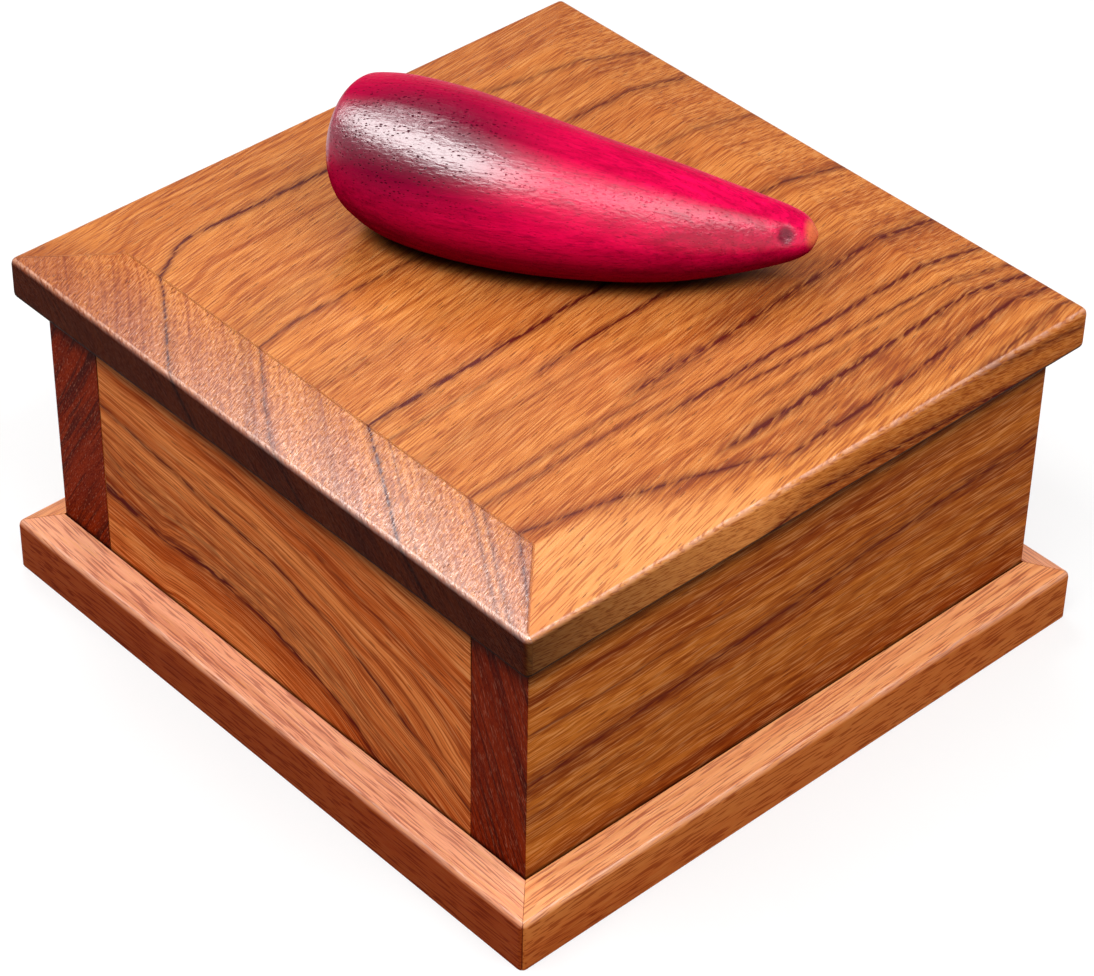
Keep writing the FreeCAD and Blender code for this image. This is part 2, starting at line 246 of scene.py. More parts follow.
    tone = add_node(tree, "ShaderNodeMath", {0: bands, 1: streaks}, operation="ADD")
    tone = add_node(tree, "ShaderNodeMath", {0: along, 1: deeper, 2: tone}, operation="MULTIPLY_ADD")
    tone = add_node(tree, "ShaderNodeMapRange", {"Value": tone, "From Min": 0.8, "From Max": 1.2})
    colour = add_node(tree, "ShaderNodeMix", {0: tone, 6: linear(light), 7: linear(dark)},
                      data_type="RGBA").outputs[2]

    # A pale, quiet patch at the near end of the front bevel: paler wood with painted sheen.
    if dive is not None:
        calm_sheen_patch = add_node(tree, "ShaderNodeMapRange", {
            "Value": normal.outputs[1], "From Min": -0.04, "From Max": -0.12})
        leaf = add_node(tree, "ShaderNodeMath", {0: across, 1: 2.2, 2: along}, operation="MULTIPLY_ADD")
        calm_end = add_node(tree, "ShaderNodeMapRange", {
            "Value": leaf, "From Min": -133.0, "From Max": -153.0, "To Max": 0.75},
            interpolation_type="SMOOTHSTEP")
        calm_sheen_patch = add_node(tree, "ShaderNodeMath", {0: calm_sheen_patch, 1: calm_end}, operation="MULTIPLY")
        colour = add_node(tree, "ShaderNodeMix", {0: calm_sheen_patch, 6: colour, 7: linear("#E89A58")},
                          data_type="RGBA").outputs[2]

    # Late wood: long thin lines, a shade deeper.
    late = add_node(tree, "ShaderNodeMapRange", {
        "Value": streaks, "From Min": 0.52, "From Max": 0.62, "To Min": 0.0, "To Max": late_wood})
    deeper_tone = add_node(tree, "ShaderNodeMix", {0: 1.0, 6: colour, 7: linear("#A06040")},
                           data_type="RGBA", blend_type="MULTIPLY").outputs[2]
    colour = add_node(tree, "ShaderNodeMix", {0: late, 6: colour, 7: deeper_tone},
                      data_type="RGBA").outputs[2]

    # Single fibres: dark hairlines, and bright ones between them.
    dark_fibre = add_node(tree, "ShaderNodeMapRange", {
        "Value": fibres, "From Min": 0.53, "From Max": 0.61, "To Min": 0.0, "To Max": hairs})
    shaded = add_node(tree, "ShaderNodeMix", {0: 1.0, 6: colour, 7: linear("#A8623A")},
                      data_type="RGBA", blend_type="MULTIPLY").outputs[2]
    colour = add_node(tree, "ShaderNodeMix", {0: dark_fibre, 6: colour, 7: shaded},
                      data_type="RGBA").outputs[2]
    bright_fibre = add_node(tree, "ShaderNodeMapRange", {
        "Value": fibres, "From Min": 0.45, "From Max": 0.34, "To Min": 0.0, "To Max": 0.5 * hairs})
    colour = add_node(tree, "ShaderNodeMix", {0: bright_fibre, 6: colour, 7: linear("#FFBC78")},
                      data_type="RGBA").outputs[2]

    # Growth lines: thin, dark, a little purple, and crumbled by the pores that open in them.
    if lines:
        darkest = 0.0
        for line in lines:
            shade = add_growth_line(tree, rings, along, line)
            darkest = add_node(tree, "ShaderNodeMath", {0: shade, 1: darkest}, operation="MAXIMUM")
        crumbled = add_node(tree, "ShaderNodeMapRange", {
            "Value": crumbs, "From Min": 0.38, "From Max": 0.54, "To Min": 0.45, "To Max": 1.0})
        darkest = add_node(tree, "ShaderNodeMath", {0: darkest, 1: crumbled}, operation="MULTIPLY")
        darkest = add_node(tree, "ShaderNodeMath", {0: darkest, 1: 1.3}, operation="MULTIPLY", use_clamp=True)
        colour = add_node(tree, "ShaderNodeMix", {0: darkest, 6: colour, 7: linear("#5A150C")},
                          data_type="RGBA").outputs[2]

    # Open pores: dashes 2 or 3 mm long along the grain, dots where the board is cut across it.
    cell = add_node(tree, "ShaderNodeVectorMath", {
        0: fibrous, 1: [1 / s for s in pore_cell], 2: piece_of_tree}, operation="MULTIPLY_ADD")
    pore = add_node(tree, "ShaderNodeTexVoronoi", {"Vector": cell, "Scale": 1.0, "Randomness": 1.0})
    present = add_node(tree, "ShaderNodeSeparateColor", {0: pore.outputs["Color"]})
    reach = add_node(tree, "ShaderNodeMapRange", {
        "Value": present, "From Min": 0.35, "From Max": 0.95, "To Min": 0.0, "To Max": 0.3})
    inside = add_node(tree, "ShaderNodeMath", {0: reach, 1: pore.outputs["Distance"]}, operation="SUBTRACT")
    pores = add_node(tree, "ShaderNodeMapRange", {"Value": inside, "From Min": 0.0, "From Max": 0.12})
    open_pore = add_node(tree, "ShaderNodeMath", {0: pores, 1: pore_shade}, operation="MULTIPLY")
    if polished:
        filled = add_node(tree, "ShaderNodeMapRange", {
            "Value": normal.outputs[2], "From Min": 0.3, "From Max": 0.85, "To Min": 0.35, "To Max": 1.0})
        open_pore = add_node(tree, "ShaderNodeMath", {0: open_pore, 1: filled}, operation="MULTIPLY")
    colour = add_node(tree, "ShaderNodeMix", {0: open_pore, 6: colour, 7: linear("#561B10")},
                      data_type="RGBA").outputs[2]

    # End grain drinks more oil, so it is a much deeper red-brown.
    facing = add_node(tree, "ShaderNodeMath", {0: normal.outputs["XYZ".index(axes[0])]}, operation="ABSOLUTE")
    end_grain = add_node(tree, "ShaderNodeMapRange", {
        "Value": facing, "From Min": 0.6, "From Max": 0.97}, interpolation_type="SMOOTHSTEP")
    deep = add_node(tree, "ShaderNodeMix", {0: 1.0, 6: colour, 7: linear(end_tint)},
                    data_type="RGBA", blend_type="MULTIPLY").outputs[2]
    dark_ring = add_node(tree, "ShaderNodeMapRange", {
        "Value": streaks, "From Min": 0.5, "From Max": 0.64, "To Max": end_rings})
    deep = add_node(tree, "ShaderNodeMix", {0: dark_ring, 6: deep, 7: linear("#32100B")},
                    data_type="RGBA").outputs[2]
    fleck = add_node(tree, "ShaderNodeMapRange", {
        "Value": crumbs, "From Min": 0.6, "From Max": 0.7, "To Max": 0.5})
    deep = add_node(tree, "ShaderNodeMix", {0: fleck, 6: deep, 7: linear("#A8664E")},
                    data_type="RGBA").outputs[2]
    colour = add_node(tree, "ShaderNodeMix", {0: end_grain, 6: colour, 7: deep},
                      data_type="RGBA").outputs[2]

    # Relief: raised fibres and sunken pores, and a rougher cut on the left bevel.
    height = add_node(tree, "ShaderNodeMath", {0: pores, 1: -0.7, 2: fibres}, operation="MULTIPLY_ADD")
    relief_depth = FIBRE_RELIEF
    if dive is not None:
        relief_depth = add_node(tree, "ShaderNodeMapRange", {
            "Value": turned, "To Min": FIBRE_RELIEF, "To Max": 2.5 * FIBRE_RELIEF})
    relief = add_node(tree, "ShaderNodeBump", {
        "Height": height, "Strength": 0.8, "Distance": relief_depth})

    # The tops are polished by handling and the sides stay duller; the sides also take painted shade.
    top = add_node(tree, "ShaderNodeMapRange", {
        "Value": normal.outputs[2], "From Min": 0.1, "From Max": 0.85}, interpolation_type="SMOOTHSTEP")
    roughness = add_node(tree, "ShaderNodeMapRange", {
        "Value": fibres, "From Min": 0.3, "From Max": 0.7, "To Min": -0.08, "To Max": 0.12})
    roughness = add_node(tree, "ShaderNodeMath", {0: roughness, 1: SIDE_ROUGHNESS}, operation="ADD")
    roughness = add_node(tree, "ShaderNodeMath", {
        0: top, 1: OIL_ROUGHNESS - SIDE_ROUGHNESS, 2: roughness}, operation="MULTIPLY_ADD")
    sloped = add_node(tree, "ShaderNodeMapRange", {
        "Value": normal.outputs[2], "From Min": 0.999, "From Max": 0.992,
        "To Min": gloss, "To Max": 1.4 * gloss})

    # The left bevel is rubbed to more shine, most at its outer edge and its near end, and towards its outer
    # edge its colour takes a painted sheen that is pale pink at the near end and darkens to painted shade at
    # the far end.
    if dive is not None:
        rubbed = add_node(tree, "ShaderNodeMapRange", {
            "Value": along, "From Min": -45.0, "From Max": -59.0, "To Min": 0.25, "To Max": 1.0})
        near = add_node(tree, "ShaderNodeMapRange", {
            "Value": across, "From Min": 50.0, "From Max": -25.0, "To Min": 0.15, "To Max": 1.0})
        rubbed = add_node(tree, "ShaderNodeMath", {0: rubbed, 1: near}, operation="MULTIPLY")
        rubbed = add_node(tree, "ShaderNodeMath", {0: rubbed, 1: 8.0 * gloss}, operation="MULTIPLY")
        sloped = add_node(tree, "ShaderNodeMix", {0: turned, 2: sloped, 3: rubbed})
        painted_bevel_sheen = add_node(tree, "ShaderNodeMix", {
            0: near, 6: linear("#CCB6B6"), 7: linear("#FFF4F6")}, data_type="RGBA").outputs[2]
        outward = add_node(tree, "ShaderNodeMapRange", {
            "Value": along, "From Min": -45.0, "From Max": -57.0}, interpolation_type="SMOOTHSTEP")
        outward = add_node(tree, "ShaderNodeMath", {0: outward, 1: top}, operation="MULTIPLY")
        colour = add_node(tree, "ShaderNodeMix", {0: outward, 6: colour, 7: painted_bevel_sheen},
                          data_type="RGBA", blend_type="MULTIPLY").outputs[2]

    # Arrises: a painted pale highlight and more shine, in broken lengths.
    shine = gloss
    if polished:
        shine = add_node(tree, "ShaderNodeMath", {0: top, 1: sloped, 2: 0.02}, operation="MULTIPLY_ADD")
        arris = add_node(tree, "ShaderNodeMapRange", {
            "Value": normal.outputs[2], "From Min": 0.93, "From Max": 0.84})
        arris = add_node(tree, "ShaderNodeMath", {0: arris, 1: top}, operation="MULTIPLY")
        broken = add_node(tree, "ShaderNodeMapRange", {
            "Value": crumbs, "From Min": 0.36, "From Max": 0.56, "To Max": 0.5})
        arris = add_node(tree, "ShaderNodeMath", {0: arris, 1: broken}, operation="MULTIPLY")
        colour = add_node(tree, "ShaderNodeMix", {0: arris, 6: colour, 7: linear("#EEB090")},
                          data_type="RGBA").outputs[2]
        shine = add_node(tree, "ShaderNodeMath", {0: arris, 1: 0.7, 2: shine}, operation="MULTIPLY_ADD")

    # Painted shade on the sides and on what faces down, and painted shade in the nooks and the seams.
    side_shaded = add_node(tree, "ShaderNodeMix", {0: 1.0, 6: colour, 7: linear(painted_side_shade)},
                      data_type="RGBA", blend_type="MULTIPLY").outputs[2]
    colour = add_node(tree, "ShaderNodeMix", {0: top, 6: side_shaded, 7: colour}, data_type="RGBA").outputs[2]
    under = add_node(tree, "ShaderNodeMapRange", {
        "Value": normal.outputs[2], "From Min": -0.3, "From Max": 0.0,
        "To Min": UNDERSIDE_SHADE, "To Max": 1.0})
    colour = add_node(tree, "ShaderNodeVectorMath", {0: colour, 1: under}, operation="MULTIPLY")
    if dive is not None:
        # Painted contact shade where the handle meets the lid.
        painted_nook_shade = add_node(tree, "ShaderNodeAmbientOcclusion", {"Distance": NOOK_SHADE_REACH}, samples=6)
        painted_nook_shade = add_node(tree, "ShaderNodeMapRange", {
            "Value": painted_nook_shade.outputs["AO"], "From Min": 0.25, "From Max": 0.8, "To Min": 0.2, "To Max": 1.0})
        # Painted shade on the lid's sides, deepest at the left end.
        painted_side_falloff = add_node(tree, "ShaderNodeMapRange", {
            "Value": along, "From Min": -62.0, "From Max": -15.0, "To Min": 0.15, "To Max": 1.0})
        painted_side_falloff = add_node(tree, "ShaderNodeMix", {0: top, 2: painted_side_falloff, 3: 1.0})
        colour = add_node(tree, "ShaderNodeVectorMath", {0: colour, 1: painted_side_falloff}, operation="MULTIPLY")
        colour = add_node(tree, "ShaderNodeVectorMath", {0: colour, 1: painted_nook_shade}, operation="MULTIPLY")
    if darkened_at_seams:
        # Painted shadow on the wall tops under the lid's overhang.
        painted_seam_shadow = add_node(tree, "ShaderNodeAmbientOcclusion", {"Distance": SEAM_SHADOW_REACH}, samples=16)
        painted_seam_shadow = add_node(tree, "ShaderNodeMapRange", {
            "Value": painted_seam_shadow.outputs["AO"], "From Min": 0.91, "From Max": 0.96, "To Min": 0.06})
        below_seam = add_node(tree, "ShaderNodeMapRange", {
            "Value": xyz.outputs[2], "From Min": 47.0, "From Max": 42.0})
        painted_seam_shadow = add_node(tree, "ShaderNodeMath", {0: painted_seam_shadow, 1: below_seam}, operation="MAXIMUM")
        colour = add_node(tree, "ShaderNodeVectorMath", {0: colour, 1: painted_seam_shadow}, operation="MULTIPLY")
        # Darker bands: along the plinth, and painted shade under the lid.
        for darkest_at, fades_at, darkest in DARK_BANDS:
            band_shade = add_node(tree, "ShaderNodeMapRange", {
                "Value": xyz.outputs[2], "From Min": darkest_at, "From Max": fades_at,
                "To Min": darkest, "To Max": 1.0}, interpolation_type="SMOOTHSTEP")
            colour = add_node(tree, "ShaderNodeVectorMath", {0: colour, 1: band_shade}, operation="MULTIPLY")

    surface = add_node(tree, "ShaderNodeBsdfPrincipled", {
        "Base Color": colour, "Roughness": roughness, "Normal": relief,
        "IOR": 1.5, "Specular IOR Level": shine})
    add_node(tree, "ShaderNodeOutputMaterial", {"Surface": surface})
    return finish


GROOVE_HALF_LENGTH = 48.5 * MM
LONG_WALL_LINES = {
    "front_wall": ((34.5, 0.075, 1.1, 0.75, None, None), (41.6, 0.02, 0.3, 0.6, None, -10),
                   (27.0, 0.06, 0.8, 0.35, None, None), (37.8, 0.03, 0.4, 0.6, 5, None),
                   (21.5, 0.04, 0.6, 0.3, None, None), (48.5, 0.03, 0.5, 0.25, None, None),
                   (15.0, 0.05, 0.7, 0.3, None, None)),
    "back_wall": ((18.5, -0.05, 0.9, 0.6, None, None), (30.0, -0.04, 0.4, 0.5, None, None),
                  (38.5, -0.06, 0.7, 0.35, None, None), (47.0, -0.03, 0.4, 0.45, None, None)),
}
for node, shift, outward, lean in (("front_wall", (3.1, 0.4, 7.7), -1, -2.4),
                                   ("back_wall", (9.4, 5.2, 1.3), 1, 1.6)):
    low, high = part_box(node)
    wall = squared_board(node.replace("_wall", "_board"), low, high)
    work(wall, "BEVEL", width=ARRIS_EASE, segments=2, limit_method="ANGLE")
    inner = low.y if outward > 0 else high.y
    groove = squared_board("groove", Vector((-GROOVE_HALF_LENGTH, inner - GROOVE_DEPTH, GROOVE_BOTTOM)),
                           Vector((GROOVE_HALF_LENGTH, inner + GROOVE_DEPTH, GROOVE_TOP)))
    cut_out(wall, groove)
    outer = high.y if outward > 0 else low.y
    for side in (-1, 1):
        for level in DOWEL_LEVELS:
            bore_x = side * (high.x - DOWEL_INSET)
            bore(wall, Vector((bore_x, outer - outward * DOWEL_COVER, level)),
                 Vector((bore_x, inner - outward * CUT_PAST, level)), DOWEL_HOLE_RADIUS)
    smooth_rounds(wall)
    wall.data.materials.append(oiled_hardwood(
        f"Oiled hardwood, {node.replace('_', ' ')}", "XZY", outer / MM, shift, LONG_WALL_LINES[node],
        light="#C46E26", dark="#984513", gloss=0.02, hair_length=5.0, hairs=0.5, late_wood=0.15,
        slant=0.03, deeper=0.0012, tilt=lean, wander=2.6, darkened_at_seams=True))
    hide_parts(node)
    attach(wall, "box")

# =============================================================================
# Left and right walls
# Two shorter boards of the same timber, butted between the long ones, so only
# their faces show. Grooved from end to end and bored in their end grain.
# =============================================================================

SHORT_WALL_LINES = {
    "left_wall": ((36.3, 0.0, 0.5, 0.8, None, None), (46.6, 0.0, 0.4, 0.55, None, 20),
                  (22.9, 0.0, 1.0, 0.9, None, None), (27.0, 0.0, 3.2, 0.45, None, None),
                  (39.5, 0.0, 0.35, 0.4, None, 30), (43.0, 0.0, 0.35, 0.4, None, 0),
                  (50.0, 0.0, 0.4, 0.35, None, None), (32.5, 0.0, 0.4, 0.35, None, None)),
    "right_wall": ((16.0, -0.08, 0.8, 0.6, None, None), (27.5, -0.1, 0.35, 0.5, None, None),
                   (36.0, -0.07, 0.6, 0.4, None, None), (45.5, -0.05, 0.4, 0.5, None, None)),
}
for node, shift, outward in (("left_wall", (6.6, 2.9, 4.2), -1), ("right_wall", (1.8, 8.1, 6.5), 1)):
    low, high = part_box(node)
    wall = squared_board(node.replace("_wall", "_board"), low, high)
    work(wall, "BEVEL", width=ARRIS_EASE, segments=2, limit_method="ANGLE")
    inner = low.x if outward > 0 else high.x
    wall_face = max(abs(low.x), abs(high.x)) / MM
    groove = squared_board("groove", Vector((inner - GROOVE_DEPTH, low.y - CUT_PAST, GROOVE_BOTTOM)),
                           Vector((inner + GROOVE_DEPTH, high.y + CUT_PAST, GROOVE_TOP)))
    cut_out(wall, groove)
    middle_x = (low.x + high.x) / 2
    dowel_reach = 13.0 * MM
    for side, end in ((-1, low.y), (1, high.y)):
        for level in DOWEL_LEVELS:
            bore(wall, Vector((middle_x, end - side * dowel_reach, level)),
                 Vector((middle_x, end + side * CUT_PAST, level)), DOWEL_HOLE_RADIUS)
    smooth_rounds(wall)
    wall.data.materials.append(oiled_hardwood(
        f"Oiled hardwood, {node.replace('_', ' ')}", "YZX", outward * wall_face, shift,
        SHORT_WALL_LINES[node], arched=node == "left_wall",
        light="#EC8B47", dark="#CB5F22", gloss=0.02, hair_length=9.0, hairs=0.6, late_wood=0.15,
        slant=-0.03, tilt=0.5, wander=3.4, darkened_at_seams=True))
    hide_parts(node)
    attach(wall, "box")

# =============================================================================
# Corner dowels
# Eight beech pegs, two to each corner, glued across the butt joints and out of
# sight. Beech is pale and even, with fine short flecks.
# =============================================================================


def turned_beech():
    """Beech dowel rod, unfinished: pale pinkish brown with short darker ray flecks."""
    finish = bpy.data.materials.new("Turned beech, dowels")
    finish.use_nodes = True
    tree = finish.node_tree
    tree.nodes.clear()
    place = add_node(tree, "ShaderNodeTexCoord", {})
    along_peg = add_node(tree, "ShaderNodeVectorMath", {
        0: place.outputs["Object"], 1: (1 / (0.4 * MM), 1 / (3.0 * MM), 1 / (0.4 * MM))},
        operation="MULTIPLY")
    flecks = add_node(tree, "ShaderNodeTexNoise", {"Vector": along_peg, "Scale": 1.0, "Detail": 2.0})
    colour = add_node(tree, "ShaderNodeMix", {
        0: flecks, 6: linear("#D9B48C"), 7: linear("#BC8F62")}, data_type="RGBA").outputs[2]
    surface = add_node(tree, "ShaderNodeBsdfPrincipled", {
        "Base Color": colour, "Roughness": 0.62, "IOR": 1.5})
    add_node(tree, "ShaderNodeOutputMaterial", {"Surface": surface})
    return finish


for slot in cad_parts["corner_dowels"].material_slots:
    slot.material = turned_beech()

# =============================================================================
# Bottom board
# One thin solid board that floats dry in the grooves, so that it can shrink
# and swell. Same timber, planed and oiled like the walls.
# =============================================================================

bottom_finish = oiled_hardwood(
    "Oiled hardwood, bottom board", "YXZ", 10.0, (4.4, 7.3, 2.2),
    ((-31, 0.03, 0.6, 0.6, None, None), (-17, 0.05, 0.8, 0.5, None, None), (-4, 0.02, 0.5, 0.6, None, None),
     (12, -0.02, 0.9, 0.5, None, None), (27, 0.02, 0.5, 0.6, None, None), (38, 0.0, 0.5, 0.4, None, None)),
    light="#CF7C40", dark="#A85C2A")
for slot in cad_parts["bottom_board"].material_slots:
    slot.material = bottom_finish

# =============================================================================
# Plinth
# Four lengths of one moulding, mitred round the foot of the box and glued on.
# The top slopes a little outward and the outer arris is rounded over; the grain
# runs along each length.
# =============================================================================

PLINTH_EDGE_HEIGHT = 9.6 * MM
PLINTH_FALL = 1.9 * MM
PLINTH_INNER_HALF = Vector((56.15 * MM, 57.9 * MM))
PLINTH_ARRIS = 1.0 * MM
MITRE_EASE = 0.12 * MM

plinth_low = Vector((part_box("plinth_left")[0].x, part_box("plinth_front")[0].y, 0.0))
plinth_high = Vector((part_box("plinth_right")[1].x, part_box("plinth_back")[1].y, PLINTH_EDGE_HEIGHT))
ring = squared_board("plinth_ring", plinth_low, plinth_high)


def select_faces(piece, wanted):
    """Enters edit mode with the wanted faces of a piece selected; wanted reads a face's middle and normal."""
    take_up(piece)
    bpy.ops.object.mode_set(mode="EDIT")
    bpy.ops.mesh.select_all(action="DESELECT")
    bpy.ops.mesh.select_mode(type="FACE")
    bpy.ops.object.mode_set(mode="OBJECT")
    for face in piece.data.polygons:
        face.select = wanted(face.center, face.normal)
    bpy.ops.object.mode_set(mode="EDIT")


def select_edges(piece, wanted):
    """Enters edit mode with the wanted edges of a piece selected; wanted reads an edge's two ends."""
    take_up(piece)
    bpy.ops.object.mode_set(mode="EDIT")
    bpy.ops.mesh.select_all(action="DESELECT")
    bpy.ops.mesh.select_mode(type="EDGE")
    bpy.ops.object.mode_set(mode="OBJECT")
    points = piece.data.vertices
    for edge in piece.data.edges:
        edge.select = wanted(*(points[i].co for i in edge.vertices))
    bpy.ops.object.mode_set(mode="EDIT")


def outer_top(a, b, high=plinth_high):
    """Whether an edge lies round the outside at the edge height, or stands at an outer corner."""
    on_side = all(abs(abs(p.x) - high.x) < MM / 100 or abs(abs(p.y) - high.y) < MM / 100 for p in (a, b))
    return on_side and max(a.z, b.z) > high.z - MM / 100


select_faces(ring, lambda middle, normal: normal.z > 0.9)
bpy.ops.mesh.inset(thickness=plinth_high.x - PLINTH_INNER_HALF.x, depth=PLINTH_FALL)
bpy.ops.object.mode_set(mode="OBJECT")
select_edges(ring, outer_top)
bpy.ops.mesh.bevel(offset=PLINTH_ARRIS, segments=4, clamp_overlap=True)
bpy.ops.object.mode_set(mode="OBJECT")
cut_out(ring, squared_board("inside", Vector((*-PLINTH_INNER_HALF, -CUT_PAST)),
                            Vector((*PLINTH_INNER_HALF, plinth_high.z + 5 * MM))))

# Tones of each length: light and dark on top, and painted shade for its sides. The left and right lengths
# have pinker tops that are partly painted sheen.
ORANGE_TONES = ("#F8A96E", "#EC8C4E", "#CCAC80")
SALMON_TONES = ("#F8A97E", "#EA8E5C", "#A06A3C")
PLINTH_SIDES = (
    ("plinth_front", "XYZ", (2.2, 3.3, 0.9), ORANGE_TONES, ((-1, -1), (-1, 1)), ((1, -1), (1, 1))),
    ("plinth_back", "XYZ", (7.5, 1.2, 5.5), ORANGE_TONES, ((-1, 1), (-1, -1)), ((1, 1), (1, -1))),
    ("plinth_left", "YXZ", (5.1, 6.4, 8.2), SALMON_TONES, ((-1, -1), (1, -1)), ((-1, 1), (1, 1))),
    ("plinth_right", "YXZ", (0.6, 9.1, 3.7), SALMON_TONES, ((1, -1), (-1, -1)), ((1, 1), (-1, 1))),
)
for node, axes, shift, (top, top_dark, sides), *mitres in PLINTH_SIDES:
    moulding = ring.copy()
    moulding.data = ring.data.copy()
    moulding.name = f"{node}_moulding"
    bpy.context.scene.collection.objects.link(moulding)
    for corner, away in mitres:
        take_up(moulding)
        bpy.ops.object.mode_set(mode="EDIT")
        bpy.ops.mesh.select_all(action="SELECT")
        bpy.ops.mesh.bisect(
            plane_co=(corner[0] * plinth_high.x, corner[1] * plinth_high.y, 0),
            plane_no=Vector((away[0], away[1], 0)).normalized(), use_fill=True, clear_outer=True)
        bpy.ops.object.mode_set(mode="OBJECT")
    work(moulding, "BEVEL", width=MITRE_EASE, segments=2, limit_method="ANGLE",
         angle_limit=math.radians(40))
    smooth_rounds(moulding)
    moulding.data.materials.append(oiled_hardwood(
        f"Oiled hardwood, {node.replace('_', ' ')}", axes, 10.0, shift,
        light=top, dark=top_dark, gloss=0.36, polished=True, hair_length=7.0, hairs=0.6, late_wood=0.2,
        slant=0.04, wander=1.5, pore_cell=(2.6, 0.26, 0.3), pore_shade=0.1, painted_side_shade=sides))
    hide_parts(node)
    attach(moulding, "box")
bpy.data.objects.remove(ring)

# =============================================================================
# Lid board
# One wide board, planed to a shallow bevel along each side that meets the
# neighbouring bevels in crisp hips. All arrises are rubbed round by hand. Its
# growth lines sweep along the lid and dive down over the left bevel.
# =============================================================================

LID_EDGE_TOP = 64.2 * MM
LID_RISE = 1.8 * MM
LID_BEVEL_WIDTH = 13.6 * MM
LID_ARRIS = 1.1 * MM
CREASE_EASE = 0.35 * MM
LID_TOP = LID_EDGE_TOP + LID_RISE
PIN_HOLE_RADIUS = 0.62 * MM
PIN_TOP = 61.5 * MM
PIN_PLACES = [(x * MM, y * MM) for x in (-25, 25) for y in (-41.25, 41.25)]
PIN_PLACES += [(x * MM, y * MM) for x in (-39.5, 39.5) for y in (-25, 25)]
SCREW_PLACES = ((-4.68 * MM, 20.17 * MM), (4.98 * MM, 0.92 * MM))
SCREW_HOLE_RADIUS = 1.8 * MM
SCREW_HEAD_RADIUS = 3.6 * MM
SCREW_HEAD_DEPTH = 2.0 * MM

lid_low, lid_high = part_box("lid_board")
lid = squared_board("lid_panel", lid_low, Vector((lid_high.x, lid_high.y, LID_EDGE_TOP)))
select_faces(lid, lambda middle, normal: normal.z > 0.9)
bpy.ops.mesh.inset(thickness=LID_BEVEL_WIDTH, depth=LID_RISE)
bpy.ops.object.mode_set(mode="OBJECT")


def outer_edge(a, b, high=lid_high):
    """Whether an edge lies on the lid's four sides."""
    return all(abs(abs(p.x) - high.x) < MM / 100 or abs(abs(p.y) - high.y) < MM / 100 for p in (a, b))


def hip_or_crease(a, b):
    """Whether an edge borders the flat top or rises to it."""
    return max(a.z, b.z) > LID_TOP - MM / 100


select_edges(lid, outer_edge)
bpy.ops.mesh.bevel(offset=LID_ARRIS, segments=5, clamp_overlap=True)
bpy.ops.object.mode_set(mode="OBJECT")
select_edges(lid, hip_or_crease)
bpy.ops.mesh.bevel(offset=CREASE_EASE, segments=2, clamp_overlap=True)
bpy.ops.object.mode_set(mode="OBJECT")
for x, y in PIN_PLACES:
    bore(lid, Vector((x, y, LID_UNDERSIDE - CUT_PAST)), Vector((x, y, PIN_TOP + 0.2 * MM)),
         PIN_HOLE_RADIUS, sides=16)
for x, y in SCREW_PLACES:
    bore(lid, Vector((x, y, LID_UNDERSIDE - CUT_PAST)), Vector((x, y, LID_TOP + CUT_PAST)), SCREW_HOLE_RADIUS)
    bore(lid, Vector((x, y, LID_UNDERSIDE - 0.05 * MM)), Vector((x, y, LID_UNDERSIDE + SCREW_HEAD_DEPTH)),
         SCREW_HEAD_RADIUS, SCREW_HOLE_RADIUS)
smooth_rounds(lid, limit=30)

# Growth lines of the lid: where each crosses the middle of the board (y in mm), its slope along
# x, its half width, its darkness, and the stretch of x that it is seen on.
LID_LINES = (
    (49.8, -0.165, 0.8, 0.6, 24, None), (45.3, 0.01, 0.5, 1.0, None, 0), (37.0, 0.03, 2.5, 0.2, 20, None),
    (30.0, 0.0, 0.8, 0.75, 30, None), (16.6, 0.0, 0.5, 0.7, None, 0), (22.5, 0.02, 2.0, 0.3, None, -5),
    (14.2, 0.0, 1.0, 0.45, 35, None), (2.5, 0.02, 1.6, 0.25, None, 0),
    (-8.2, 0.066, 0.5, 1.1, None, 20), (-6.4, 0.0, 0.6, 0.8, 38, None), (-16.4, 0.085, 0.5, 0.9, -20, 14),
    (-13.5, 0.05, 0.4, 0.5, None, -20), (-21.5, 0.03, 1.6, 0.25, None, 5),
    (-31.0, 0.065, 1.1, 0.85, -12, None),
    (-28.0, 0.03, 3.6, 0.4, 8, 44), (-34.0, 0.0, 0.6, 0.5, None, -2), (-38.9, 0.02, 0.55, 1.0, -12, None),
    (-36.8, 0.0, 0.45, 0.6, None, -8), (-41.2, -0.05, 0.5, 0.8, 2, None),
    (-55.8, -0.235, 0.55, 0.8, None, -3),
    (-45.5, 0.02, 0.6, 0.5, 0, None), (-49.8, 0.035, 0.6, 1.0, -10, None), (-55.9, 0.06, 0.6, 0.9, -4, None),
    (-63.0, 0.1, 0.6, 0.7, 18, None), (-52.8, 0.02, 1.8, 0.3, 0, None),
)
# The lid's side tint is painted shade on its sides.
lid.data.materials.append(oiled_hardwood(
    "Oiled hardwood, lid board", "XYZ", LID_TOP / MM, (0.0, 0.0, 0.0), LID_LINES, light="#D5823C",
    dark="#B66026", end_tint="#D69878", end_rings=0.25, gloss=0.33, polished=True, late_wood=0.12,
    slant=0.22, deeper=0.0004, tilt=-1.0, wander=1.3, pore_cell=(3.6, 0.4, 0.5),
    painted_side_shade="#F0E4CC", dive=(-46.4, -60.0, 20.0)))
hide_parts("lid_board")
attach(lid, "lid")

# =============================================================================
# Locating strips and panel pins
# Four narrow strips, mitred into a frame under the lid, that drop inside the
# walls and keep the lid from sliding. Each is glued and held by two brass pins.
# =============================================================================

